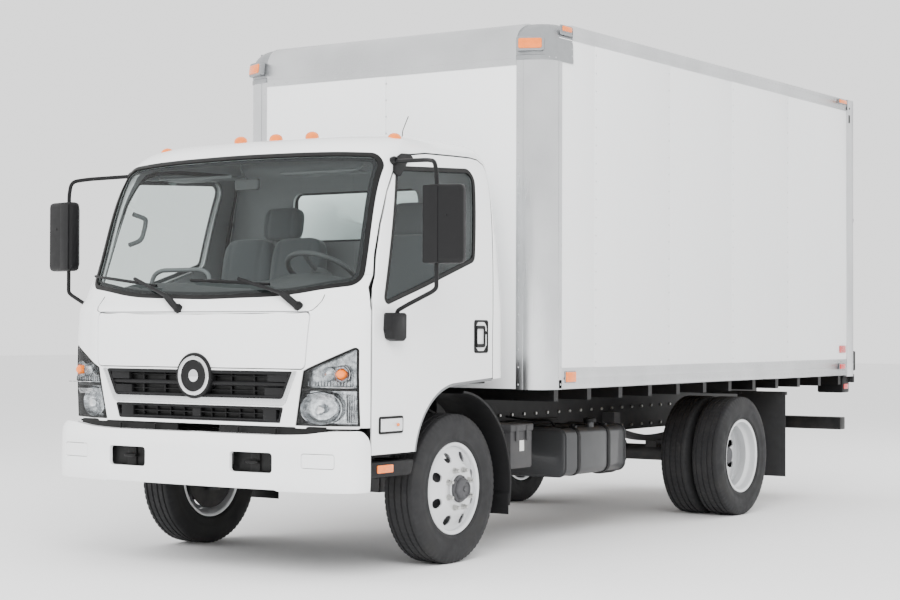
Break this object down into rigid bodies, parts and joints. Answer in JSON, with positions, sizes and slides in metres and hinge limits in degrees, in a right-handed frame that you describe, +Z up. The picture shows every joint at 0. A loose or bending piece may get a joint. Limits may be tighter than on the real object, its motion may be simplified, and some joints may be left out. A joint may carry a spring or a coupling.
{
  "type": "box truck",
  "caption": "Cab-over box truck with a tilting cab, opening doors and front lid, steered front wheels, twin rear wheels and a rigid sheet-and-post cargo box.",
  "frame": {"origin": "centre of the truck's footprint box, on the ground under the tyres", "axes": "+Z up, -Y the way the truck drives forwards, +X its driver's side (left-hand drive)"},
  "size_m": [3.0086, 6.75, 3.176],
  "materials": {
    "cab_paint": "gloss white paint",
    "box_paint": "satin white sheet",
    "rail_aluminium": "satin extruded aluminium",
    "chassis_black": "satin black paint",
    "tank_paint": "satin dark grey paint",
    "black_plastic": "grained black plastic",
    "flap_rubber": "matte rubber",
    "floor_wood": "oiled hardwood boards",
    "floor_mat": "matte floor covering",
    "amber_lens": "clear amber lens",
    "lamp_lens": "clear lens over chrome",
    "glass": "tinted glass",
    "seat_fabric": "woven dark grey cloth",
    "wheel_paint": "silver-white wheel paint",
    "tyre": "matte tread rubber"
  },
  "bodies": {
    "chassis": {"frame": "chassis_black", "front_bumper": "cab_paint", "engine": "chassis_black", "front_axle": "chassis_black", "rear_axle": "chassis_black", "fuel_tank": "tank_paint", "battery_box": "chassis_black", "side_steps": "black_plastic", "mudflaps": "flap_rubber", "floor_beams": "chassis_black", "cargo_floor": "floor_wood", "box_front_wall": "box_paint", "box_front_frame": "rail_aluminium", "box_side_walls": "box_paint", "box_rails": "rail_aluminium", "box_roof": "box_paint", "rear_frame": "rail_aluminium", "rear_door": "box_paint", "body_lamps": "amber_lens", "rear_bumpers": "chassis_black"},
    "cab": {"cab_front": "cab_paint", "cab_frame": "cab_paint", "cab_floor": "floor_mat", "cab_glass": "glass", "grille": "black_plastic", "cab_lamps": "lamp_lens", "dashboard": "black_plastic", "seats": "seat_fabric", "wipers": "black_plastic"},
    "front_lid": {"front_lid": "cab_paint"},
    "left_door": {"left_door": "cab_paint", "left_door_glass": "glass", "left_mirror": "black_plastic"},
    "right_door": {"right_door": "cab_paint", "right_door_glass": "glass", "right_mirror": "black_plastic"},
    "steering_wheel": {"steering_wheel": "black_plastic"},
    "left_knuckle": {"left_knuckle": "chassis_black"},
    "right_knuckle": {"right_knuckle": "chassis_black"},
    "left_front_wheel": {"left_front_wheel": "wheel_paint", "left_front_tyre": "tyre"},
    "right_front_wheel": {"right_front_wheel": "wheel_paint", "right_front_tyre": "tyre"},
    "left_rear_wheels": {"left_rear_wheels": "wheel_paint", "left_rear_tyres": "tyre"},
    "right_rear_wheels": {"right_rear_wheels": "wheel_paint", "right_rear_tyres": "tyre"}
  },
  "joints": [
    {"name": "cab_tilt", "type": "hinge", "parent": "chassis", "child": "cab", "pos_m": [0, -3.055, 0.95], "axis": [1, 0, 0], "range_deg": [0, 45]},
    {"name": "front_lid_hinge", "type": "hinge", "parent": "cab", "child": "front_lid", "pos_m": [0, -3.285, 1.407], "axis": [-1, 0, 0], "range_deg": [0, 80]},
    {"name": "left_door_hinge", "type": "hinge", "parent": "cab", "child": "left_door", "pos_m": [1.048, -3.093, 1.3], "axis": [0, 0, -1], "range_deg": [0, 70]},
    {"name": "right_door_hinge", "type": "hinge", "parent": "cab", "child": "right_door", "pos_m": [-1.048, -3.093, 1.3], "axis": [0, 0, 1], "range_deg": [0, 70]},
    {"name": "steering_column", "type": "hinge", "parent": "cab", "child": "steering_wheel", "pos_m": [0.52, -2.835, 1.63], "axis": [0, 0.5299, 0.848], "range_deg": [-576, 576]},
    {"name": "left_steering", "type": "hinge", "parent": "chassis", "child": "left_knuckle", "pos_m": [0.8, -2.225, 0.423], "axis": [0, 0, 1], "range_deg": [-36, 36]},
    {"name": "right_steering", "type": "hinge", "parent": "chassis", "child": "right_knuckle", "pos_m": [-0.8, -2.225, 0.423], "axis": [0, 0, 1], "range_deg": [-36, 36]},
    {"name": "left_front_roll", "type": "hinge", "parent": "left_knuckle", "child": "left_front_wheel", "pos_m": [0.9, -2.225, 0.423], "axis": [1, 0, 0], "continuous": true},
    {"name": "right_front_roll", "type": "hinge", "parent": "right_knuckle", "child": "right_front_wheel", "pos_m": [-0.9, -2.225, 0.423], "axis": [1, 0, 0], "continuous": true},
    {"name": "left_rear_roll", "type": "hinge", "parent": "chassis", "child": "left_rear_wheels", "pos_m": [0.9225, 1.275, 0.423], "axis": [1, 0, 0], "continuous": true},
    {"name": "right_rear_roll", "type": "hinge", "parent": "chassis", "child": "right_rear_wheels", "pos_m": [-0.9225, 1.275, 0.423], "axis": [1, 0, 0], "continuous": true}
  ],
  "couplings": [
    {"joint": "right_steering", "follows": "left_steering", "ratio": 1},
    {"joint": "steering_column", "follows": "left_steering", "ratio": 16}
  ]
}
